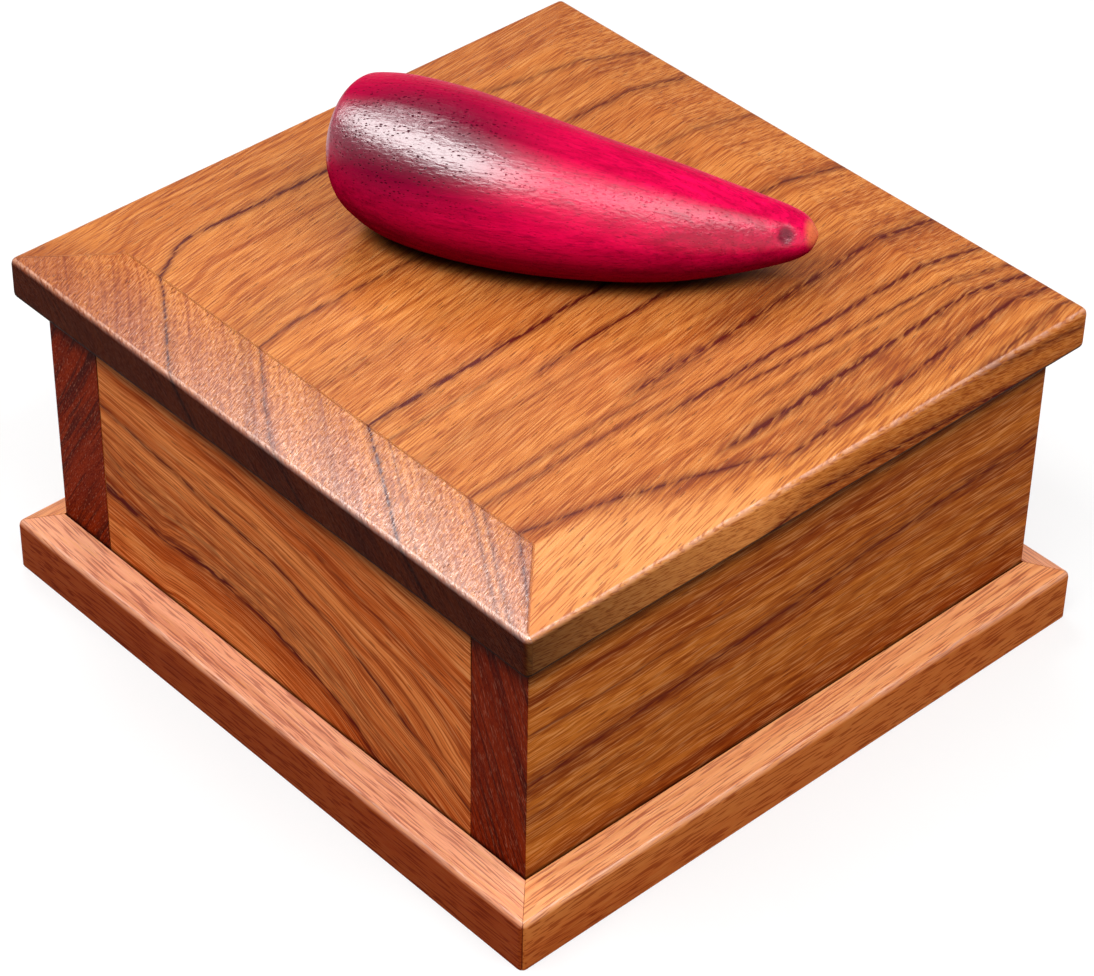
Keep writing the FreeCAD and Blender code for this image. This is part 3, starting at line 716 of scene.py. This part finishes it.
for node, axes, shift in (("lid_strip_front", "XYZ", (2.0, 4.0, 6.0)),
                          ("lid_strip_back", "XYZ", (8.0, 1.0, 3.0)),
                          ("lid_strip_left", "YXZ", (5.0, 2.0, 9.0)),
                          ("lid_strip_right", "YXZ", (7.0, 6.0, 1.0))):
    strip_finish = oiled_hardwood(f"Oiled hardwood, {node.replace('_', ' ')}", axes, 50.0, shift,
                                  light="#CF7C40", dark="#A85C2A", wander=1.5)
    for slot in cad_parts[node].material_slots:
        slot.material = strip_finish


def turned_brass(name):
    """Turned brass, dulled by handling: soft yellow metal with faint rings from the lathe."""
    finish = bpy.data.materials.new(name)
    finish.use_nodes = True
    tree = finish.node_tree
    tree.nodes.clear()
    place = add_node(tree, "ShaderNodeTexCoord", {})
    rings = add_node(tree, "ShaderNodeVectorMath", {
        0: place.outputs["Object"], 1: (1 / MM, 1 / MM, 1 / (0.15 * MM))}, operation="MULTIPLY")
    tarnish = add_node(tree, "ShaderNodeTexNoise", {"Vector": rings, "Scale": 1.0, "Detail": 3.0})
    colour = add_node(tree, "ShaderNodeMix", {
        0: tarnish, 6: linear("#DDB565"), 7: linear("#A97F3C")}, data_type="RGBA").outputs[2]
    roughness = add_node(tree, "ShaderNodeMapRange", {"Value": tarnish, "To Min": 0.25, "To Max": 0.5})
    surface = add_node(tree, "ShaderNodeBsdfPrincipled", {
        "Base Color": colour, "Metallic": 1.0, "Roughness": roughness})
    add_node(tree, "ShaderNodeOutputMaterial", {"Surface": surface})
    return finish


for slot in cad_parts["strip_pins"].material_slots:
    slot.material = turned_brass("Turned brass, pins")

# =============================================================================
# Handle
# A horn-shaped piece of hardwood, carved and sanded to a fat blunt butt and a
# blunt tip, dyed magenta right through the surface, and polished. It lies flat
# on the lid, and two screws hold it from inside.
# =============================================================================

HANDLE_LENGTH = 74.5 * MM
HANDLE_WIDTH = 27.8 * MM
HANDLE_HEIGHT = 26.5 * MM
HANDLE_TURN = math.radians(-56.5)
HANDLE_BOW = 6.6 * MM
HANDLE_LEAN = -1.0 * MM
HANDLE_MIDDLE = Vector((11.6 * MM, 2.9 * MM, 0.0))
HANDLE_SEAT_CUT = 1.3 * MM
HANDLE_TIP_HEIGHT = 7.6 * MM
HANDLE_LEVEL_SHARE = 0.2
HANDLE_TIP_EASE = 1.3
HANDLE_BUTT_TILT = math.radians(13.5)
HANDLE_BUTT_SKEW = math.radians(3.5)
HANDLE_RIM = 1.8 * MM
GRIP = Vector((-12.5 * MM, 19.0 * MM, 87.0 * MM))
GRIP_SHARES = (0.54, 1.0, 1.0)
KNOT = Vector((25.0 * MM, -27.9 * MM, 76.4 * MM))
KNOT_RADIUS = 1.9 * MM
KNOT_DEPTH = 0.45 * MM
TIP_HIGHLIGHT_SPOT = Vector((30.8 * MM, -29.6 * MM, 75.2 * MM))
GIRTHS = ((-0.08, 0.79), (-0.03, 0.805), (0.0, 0.83), (0.05, 0.925), (0.12, 0.99), (0.25, 1.0), (0.40, 0.94),
          (0.55, 0.84), (0.70, 0.71), (0.84, 0.515), (0.94, 0.34), (0.97, 0.26), (0.987, 0.18), (1.0, 0.03))

handle_along = Vector((math.cos(HANDLE_TURN), math.sin(HANDLE_TURN), 0.0))
handle_across = Vector((math.sin(HANDLE_TURN), -math.cos(HANDLE_TURN), 0.0))
butt_point = HANDLE_MIDDLE - handle_along * HANDLE_LENGTH / 2
tip_point = HANDLE_MIDDLE + handle_along * HANDLE_LENGTH / 2
bend_point = HANDLE_MIDDLE + handle_across * 2 * HANDLE_BOW + handle_along * HANDLE_LEAN
level_height = HANDLE_HEIGHT / 2 - HANDLE_SEAT_CUT


def handle_axis(share):
    """The middle of the handle at a share of its length, in plan a bow, falling towards the tip."""
    past = max(0.0, (share - HANDLE_LEVEL_SHARE) / (1 - HANDLE_LEVEL_SHARE))
    plan = butt_point * (1 - share) ** 2 + bend_point * 2 * share * (1 - share) + tip_point * share ** 2
    rise = level_height + (HANDLE_TIP_HEIGHT - level_height) * past ** HANDLE_TIP_EASE
    return plan + Vector((0, 0, LID_TOP + rise))


def handle_heading(share):
    """The way the handle's axis points in plan, as an angle about Z."""
    slope = (bend_point - butt_point) * (1 - share) + (tip_point - bend_point) * share
    return math.atan2(slope.y, slope.x)


def handle_girth(share):
    """The handle's thickness there, as a share of its fullest, by a smooth curve through the girths."""
    spots = list(GIRTHS)
    k = max(i for i, (s, _) in enumerate(spots) if s <= share or i == 0)
    k = min(k, len(spots) - 2)
    (s0, g0), (s1, g1) = spots[k], spots[k + 1]
    before = spots[k - 1] if k > 0 else (2 * s0 - s1, 2 * g0 - g1)
    after = spots[k + 2] if k + 2 < len(spots) else (2 * s1 - s0, 2 * g1 - g0)
    m0 = (g1 - before[1]) / (s1 - before[0]) * (s1 - s0)
    m1 = (after[1] - g0) / (after[0] - s0) * (s1 - s0)
    t = (share - s0) / (s1 - s0)
    return ((2 * t ** 3 - 3 * t ** 2 + 1) * g0 + (t ** 3 - 2 * t ** 2 + t) * m0
            + (3 * t ** 2 - 2 * t ** 3) * g1 + (t ** 3 - t ** 2) * m1)


# Rings of the carving: share of the length, size of the ring, how far it turns with the butt.
# The first round over the rim of the butt, the next follow the body, and the last close the tip.
RIM_STEPS = 6
BODY_STEPS = 26
BUTT_GIRTH = 0.83
BUTT_TURNS_BY = 0.22
TIP_GAP = 0.03
TIP_SHARES = (0.94, 0.96, 0.975, 0.987, 0.995, 1.0)
carving = []
for step in range(1, RIM_STEPS + 1):
    angle = math.radians(90 * step / RIM_STEPS)
    inward = HANDLE_RIM * (1 - math.sin(angle))
    sunk = HANDLE_RIM * (1 - math.cos(angle))
    carving.append((sunk / HANDLE_LENGTH, 1 - inward / (HANDLE_WIDTH / 2 * BUTT_GIRTH), 1.0))
for step in range(1, BODY_STEPS + 1):
    share = HANDLE_RIM / HANDLE_LENGTH + step * (TIP_SHARES[0] - TIP_GAP) / BODY_STEPS
    carving.append((share, 1.0, max(0.0, 1 - share / BUTT_TURNS_BY)))
carving += [(share, 1.0, 0.0) for share in TIP_SHARES]

bpy.ops.object.select_all(action="DESELECT")
bpy.ops.mesh.primitive_circle_add(vertices=40, radius=1.0, fill_type="NGON")
handle = bpy.context.object
handle.name = "horn_handle"
bpy.ops.object.mode_set(mode="EDIT")
bpy.ops.mesh.select_all(action="SELECT")
for count, (share, size, butt_turn) in enumerate(carving):
    if count:
        bpy.ops.mesh.extrude_region_move()
    girth = handle_girth(share) * size
    heading = handle_heading(share) + HANDLE_BUTT_SKEW * butt_turn
    lean = -HANDLE_BUTT_TILT * butt_turn
    frame_of_ring = (Matrix.Translation(handle_axis(share)) @ Matrix.Rotation(heading, 4, "Z")
                     @ Matrix.Rotation(math.radians(90) + lean, 4, "Y")
                     @ Matrix.Diagonal((HANDLE_HEIGHT / 2 * girth, HANDLE_WIDTH / 2 * girth, 1.0, 1.0)))
    bpy.ops.object.mode_set(mode="OBJECT")
    turned = frame_of_ring @ (carving_frame.inverted() if count else Matrix.Identity(4))
    for point in handle.data.vertices:
        if point.select:
            point.co = turned @ point.co
    carving_frame = frame_of_ring
    bpy.ops.object.mode_set(mode="EDIT")
bpy.ops.mesh.select_all(action="SELECT")
bpy.ops.mesh.normals_make_consistent(inside=False)
bpy.ops.object.mode_set(mode="OBJECT")
work(handle, "SUBSURF", levels=2, render_levels=2)
take_up(handle)
bpy.ops.object.mode_set(mode="EDIT")
bpy.ops.mesh.select_all(action="SELECT")
bpy.ops.mesh.bisect(plane_co=(0, 0, LID_TOP), plane_no=(0, 0, -1), use_fill=True, clear_outer=True)
bpy.ops.object.mode_set(mode="OBJECT")
for point in handle.data.vertices:
    off = (point.co - KNOT).length / KNOT_RADIUS
    if off < 1:
        point.co = point.co - point.normal * KNOT_DEPTH * (1 - off ** 2) ** 2
smooth_rounds(handle, limit=45)


def dyed_hardwood():
    """Hardwood dyed magenta with aniline dye, then sanded fine and polished. The dye follows the
    grain in darker streaks and has gone wine red and glossy where it is gripped; painted shade
    darkens the back of the butt, and a painted coral highlight sits at the tip. The open pores stay
    as short dark dashes that break up the gloss, and one small knot sits near the tip."""
    finish = bpy.data.materials.new("Dyed and polished hardwood, handle")
    finish.use_nodes = True
    tree = finish.node_tree
    tree.nodes.clear()
    place = add_node(tree, "ShaderNodeTexCoord", {})
    turned = add_node(tree, "ShaderNodeMapping", {
        "Vector": place.outputs["Object"], "Rotation": (0.0, 0.0, -HANDLE_TURN), "Scale": (1000, 1000, 1000)})
    patterns = []
    for size, detail in (((60, 9, 9), 2.0), ((28, 1.1, 1.1), 3.0),
                         ((2.4, 0.35, 0.35), 2.0), ((1.6, 0.8, 0.8), 2.0)):
        spot = add_node(tree, "ShaderNodeVectorMath", {0: turned, 1: [1 / s for s in size]},
                        operation="MULTIPLY")
        patterns.append(add_node(tree, "ShaderNodeTexNoise", {
            "Vector": spot, "Scale": 1.0, "Detail": detail, "Roughness": 0.55}))
    clouds, streaks, fibres, dents = patterns
    tone = add_node(tree, "ShaderNodeMath", {0: clouds, 1: streaks}, operation="ADD")
    tone = add_node(tree, "ShaderNodeMapRange", {"Value": tone, "From Min": 0.85, "From Max": 1.25})
    colour = add_node(tree, "ShaderNodeMix", {
        0: tone, 6: linear("#F60A54"), 7: linear("#C4043E")}, data_type="RGBA").outputs[2]
    grip_middle = Matrix.Rotation(-HANDLE_TURN, 3, "Z") @ GRIP * 1000
    from_grip = add_node(tree, "ShaderNodeVectorMath", {0: turned, 1: grip_middle}, operation="SUBTRACT")
    from_grip = add_node(tree, "ShaderNodeVectorMath", {0: from_grip, 1: GRIP_SHARES}, operation="MULTIPLY")
    from_grip = add_node(tree, "ShaderNodeVectorMath", {0: from_grip}, operation="LENGTH")
    grip = add_node(tree, "ShaderNodeMapRange", {
        "Value": from_grip.outputs["Value"], "From Min": 15.0, "From Max": 5.0},
        interpolation_type="SMOOTHSTEP")
    sideways = add_node(tree, "ShaderNodeVectorMath", {
        0: place.outputs["Normal"], 1: handle_across - 0.25 * handle_along}, operation="DOT_PRODUCT")
    # Painted shade on the back of the butt, on the side that faces away from the lights.
    painted_back_shade = add_node(tree, "ShaderNodeMapRange", {
        "Value": from_grip.outputs["Value"], "From Min": 25.0, "From Max": 12.0, "To Max": 0.5},
        interpolation_type="SMOOTHSTEP")
    far_side = add_node(tree, "ShaderNodeMapRange", {
        "Value": sideways.outputs["Value"], "From Min": 0.5, "From Max": 0.2})
    painted_back_shade = add_node(tree, "ShaderNodeMath", {0: painted_back_shade, 1: far_side}, operation="MULTIPLY")
    colour = add_node(tree, "ShaderNodeMix", {0: painted_back_shade, 6: colour, 7: linear("#A2042C")},
                      data_type="RGBA").outputs[2]
    grip_shade = add_node(tree, "ShaderNodeMath", {0: grip, 1: 0.92}, operation="MULTIPLY")
    colour = add_node(tree, "ShaderNodeMix", {0: grip_shade, 6: colour, 7: linear("#620426")},
                      data_type="RGBA").outputs[2]
    dark_fibre = add_node(tree, "ShaderNodeMapRange", {
        "Value": fibres, "From Min": 0.52, "From Max": 0.7, "To Min": 0.0, "To Max": 0.5})
    colour = add_node(tree, "ShaderNodeMix", {0: dark_fibre, 6: colour, 7: linear("#8C0234")},
                      data_type="RGBA").outputs[2]

    cell = add_node(tree, "ShaderNodeVectorMath", {0: turned, 1: (1 / 0.8, 1 / 0.32, 1 / 0.32)},
                    operation="MULTIPLY")
    pore = add_node(tree, "ShaderNodeTexVoronoi", {"Vector": cell, "Scale": 1.0, "Randomness": 1.0})
    present = add_node(tree, "ShaderNodeSeparateColor", {0: pore.outputs["Color"]})
    reach = add_node(tree, "ShaderNodeMapRange", {
        "Value": present, "From Min": 0.2, "From Max": 0.95, "To Min": 0.0, "To Max": 0.42})
    inside = add_node(tree, "ShaderNodeMath", {0: reach, 1: pore.outputs["Distance"]}, operation="SUBTRACT")
    pores = add_node(tree, "ShaderNodeMapRange", {"Value": inside, "From Min": 0.0, "From Max": 0.12})
    open_grain = add_node(tree, "ShaderNodeMapRange", {"Value": grip, "To Min": 0.05, "To Max": 0.9})
    pore_shade = add_node(tree, "ShaderNodeMath", {0: pores, 1: open_grain}, operation="MULTIPLY")
    colour = add_node(tree, "ShaderNodeMix", {0: pore_shade, 6: colour, 7: linear("#3C0218")},
                      data_type="RGBA").outputs[2]

    # Painted coral highlight at the tip, and the knot.
    from_tip = add_node(tree, "ShaderNodeVectorMath", {0: place.outputs["Object"], 1: TIP_HIGHLIGHT_SPOT},
                        operation="DISTANCE")
    tip_highlight = add_node(tree, "ShaderNodeMapRange", {
        "Value": from_tip.outputs["Value"], "From Min": 3.4 * MM, "From Max": 1.4 * MM},
        interpolation_type="SMOOTHSTEP")
    colour = add_node(tree, "ShaderNodeMix", {0: tip_highlight, 6: colour, 7: linear("#F0784E")},
                      data_type="RGBA").outputs[2]
    from_knot = add_node(tree, "ShaderNodeVectorMath", {0: place.outputs["Object"], 1: KNOT},
                         operation="DISTANCE")
    knot = add_node(tree, "ShaderNodeMapRange", {
        "Value": from_knot.outputs["Value"], "From Min": 2.0 * MM, "From Max": 0.9 * MM,
        "To Max": 0.75}, interpolation_type="SMOOTHSTEP")
    colour = add_node(tree, "ShaderNodeMix", {0: knot, 6: colour, 7: linear("#4A1626")},
                      data_type="RGBA").outputs[2]

    # Painted shade on what faces down.
    upright = add_node(tree, "ShaderNodeSeparateXYZ", {0: place.outputs["Normal"]})
    under = add_node(tree, "ShaderNodeMapRange", {
        "Value": upright.outputs[2], "From Min": -0.4, "From Max": 0.2, "To Min": 0.3, "To Max": 1.0})
    colour = add_node(tree, "ShaderNodeVectorMath", {0: colour, 1: under}, operation="MULTIPLY")

    height = add_node(tree, "ShaderNodeMath", {0: fibres, 1: 0.5, 2: dents}, operation="MULTIPLY_ADD")
    height = add_node(tree, "ShaderNodeMath", {0: pores, 1: -0.9, 2: height}, operation="MULTIPLY_ADD")
    relief = add_node(tree, "ShaderNodeBump", {"Height": height, "Strength": 0.8, "Distance": 0.12 * MM})
    upper = add_node(tree, "ShaderNodeMapRange", {
        "Value": sideways.outputs["Value"], "From Min": 0.22, "From Max": 0.52,
        "To Min": 0.0, "To Max": 0.45}, interpolation_type="SMOOTHSTEP")
    lower = add_node(tree, "ShaderNodeMapRange", {
        "Value": sideways.outputs["Value"], "From Min": 0.96, "From Max": 0.72},
        interpolation_type="SMOOTHSTEP")
    shine = add_node(tree, "ShaderNodeMath", {0: upper, 1: lower, 2: 0.01}, operation="MULTIPLY_ADD")
    shut = add_node(tree, "ShaderNodeMath", {0: pores, 1: grip}, operation="MULTIPLY")
    shut = add_node(tree, "ShaderNodeMapRange", {"Value": shut, "To Min": 1.0, "To Max": 0.1})
    shine = add_node(tree, "ShaderNodeMath", {0: shine, 1: shut}, operation="MULTIPLY")
    more = add_node(tree, "ShaderNodeMapRange", {"Value": grip, "To Min": 1.0, "To Max": 3.0})
    shine = add_node(tree, "ShaderNodeMath", {0: shine, 1: more}, operation="MULTIPLY")
    lifted = add_node(tree, "ShaderNodeMapRange", {
        "Value": upright.outputs[2], "From Min": 0.0, "From Max": 0.35})
    shine = add_node(tree, "ShaderNodeMath", {0: shine, 1: lifted}, operation="MULTIPLY")
    dull = add_node(tree, "ShaderNodeMapRange", {"Value": grip, "To Min": 0.38, "To Max": 0.28})
    roughness = add_node(tree, "ShaderNodeMath", {0: pores, 1: 0.2, 2: dull}, operation="MULTIPLY_ADD")
    surface = add_node(tree, "ShaderNodeBsdfPrincipled", {
        "Base Color": colour, "Roughness": roughness, "Normal": relief,
        "IOR": 1.8, "Specular IOR Level": shine})
    add_node(tree, "ShaderNodeOutputMaterial", {"Surface": surface})
    return finish


handle.data.materials.append(dyed_hardwood())
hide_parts("lid_handle")
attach(handle, "lid")

# =============================================================================
# Handle screws
# Two slotted countersunk brass wood screws, driven up through the lid into the
# handle. Only their heads can be seen, with the lid turned over.
# =============================================================================

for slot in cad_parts["handle_screws"].material_slots:
    slot.material = turned_brass("Turned brass, screws")

# =============================================================================
# Floor
# A wide round sheet of plain white board that the box stands on, turned up into
# a low backdrop all round.
# =============================================================================

FLOOR_RADIUS = 4.0
FLOOR_GAP = 0.02 * MM
BACKDROP_HEIGHT = 0.6
SHADOW_SHARE = 0.45

bpy.ops.object.select_all(action="DESELECT")
bpy.ops.mesh.primitive_circle_add(vertices=64, radius=FLOOR_RADIUS, fill_type="NGON",
                                  location=(0, 0, -FLOOR_GAP))
floor = bpy.context.object
floor.name = "floor"
bpy.ops.object.mode_set(mode="EDIT")
bpy.ops.mesh.select_mode(type="EDGE")
bpy.ops.mesh.select_all(action="SELECT")
bpy.ops.mesh.extrude_edges_move(TRANSFORM_OT_translate={"value": (0, 0, BACKDROP_HEIGHT)})
bpy.ops.object.mode_set(mode="OBJECT")
floor_finish = bpy.data.materials.new("White board")
floor_finish.use_nodes = True
floor_tree = floor_finish.node_tree
floor_tree.nodes.clear()
ray = add_node(floor_tree, "ShaderNodeLightPath", {})
seen = add_node(floor_tree, "ShaderNodeMath", {
    0: ray.outputs["Is Camera Ray"], 1: ray.outputs["Is Glossy Ray"]}, operation="MAXIMUM")
seen = add_node(floor_tree, "ShaderNodeMath", {0: seen, 1: ray.outputs["Is Transmission Ray"]},
                operation="MAXIMUM")
matt = add_node(floor_tree, "ShaderNodeBsdfDiffuse", {"Color": linear("#BEBEBE")})
white = add_node(floor_tree, "ShaderNodeEmission", {"Color": (1, 1, 1, 1), "Strength": 1.0})
bright = add_node(floor_tree, "ShaderNodeBsdfDiffuse", {"Color": (1, 1, 1, 1)})
backdrop = add_node(floor_tree, "ShaderNodeMixShader", {0: SHADOW_SHARE, 1: white, 2: bright})
shown = add_node(floor_tree, "ShaderNodeMixShader", {0: seen, 1: matt, 2: backdrop})
add_node(floor_tree, "ShaderNodeOutputMaterial", {"Surface": shown})
floor.data.materials.append(floor_finish)

# =============================================================================
# Studio light
# Four softboxes that face straight down: a wide weak one that fills, two strong
# ones to the left and in front, and a small one behind, whose reflections lie
# on the handle and on the lid. An even pale surround fills the rest.
# =============================================================================

SOFTBOXES = (
    ("overhead softbox", (-0.10, -0.10, 0.60), (0.98, 1.00), 0.6),
    ("left softbox", (-0.32, 0.28, 0.59), (0.34, 1.12), 4.6),
    ("front softbox", (0.12, -0.42, 0.58), (0.64, 0.40), 3.8),
    ("far softbox", (0.16, 0.36, 0.59), (0.30, 0.16), 1.1),
)
for name, place, size, watts in SOFTBOXES:
    lamp = bpy.data.lights.new(name, "AREA")
    lamp.shape = "RECTANGLE"
    lamp.size, lamp.size_y = size
    lamp.energy = watts
    softbox = bpy.data.objects.new(name, lamp)
    softbox.visible_camera = False
    bpy.context.scene.collection.objects.link(softbox)
    softbox.location = place

SURROUND = 0.14
world = bpy.data.worlds.new("Pale surround")
bpy.context.scene.world = world
world.use_nodes = True
world.node_tree.nodes.clear()
surround = add_node(world.node_tree, "ShaderNodeBackground", {"Color": (1, 1, 1, 1), "Strength": SURROUND})
add_node(world.node_tree, "ShaderNodeOutputWorld", {"Surface": surround})
bpy.context.scene.view_settings.view_transform = "Standard"

# =============================================================================
# Camera
# A long lens that looks down at the left and front sides, with its whole view
# in these few angles and lengths.
# =============================================================================

CAMERA_AZIMUTH = math.radians(-43.1605)
CAMERA_ELEVATION = math.radians(39.115)
CAMERA_ROLL = math.radians(1.1217)
CAMERA_DISTANCE = 599.92 * MM
CAMERA_LENS = 120.08
CAMERA_AIM_HEIGHT = 32.08 * MM
CAMERA_AIM_RIGHT = 0.612 * MM
CAMERA_AIM_DOWN = 7.692 * MM

back = Vector((math.sin(CAMERA_AZIMUTH) * math.cos(CAMERA_ELEVATION),
               -math.cos(CAMERA_AZIMUTH) * math.cos(CAMERA_ELEVATION), math.sin(CAMERA_ELEVATION)))
level_right = Vector((math.cos(CAMERA_AZIMUTH), math.sin(CAMERA_AZIMUTH), 0))
level_up = back.cross(level_right)
right = level_right * math.cos(CAMERA_ROLL) + level_up * math.sin(CAMERA_ROLL)
up = level_up * math.cos(CAMERA_ROLL) - level_right * math.sin(CAMERA_ROLL)
aim = Vector((0, 0, CAMERA_AIM_HEIGHT)) + right * CAMERA_AIM_RIGHT - up * CAMERA_AIM_DOWN
camera_data = bpy.data.cameras.new("camera")
camera_data.sensor_fit = "HORIZONTAL"
camera_data.sensor_width = 36.0
camera_data.lens = CAMERA_LENS
camera = bpy.data.objects.new("camera", camera_data)
bpy.context.scene.collection.objects.link(camera)
camera.matrix_world = (Matrix.Translation(aim + back * CAMERA_DISTANCE)
                       @ Matrix((right, up, back)).transposed().to_4x4())
bpy.context.scene.camera = camera
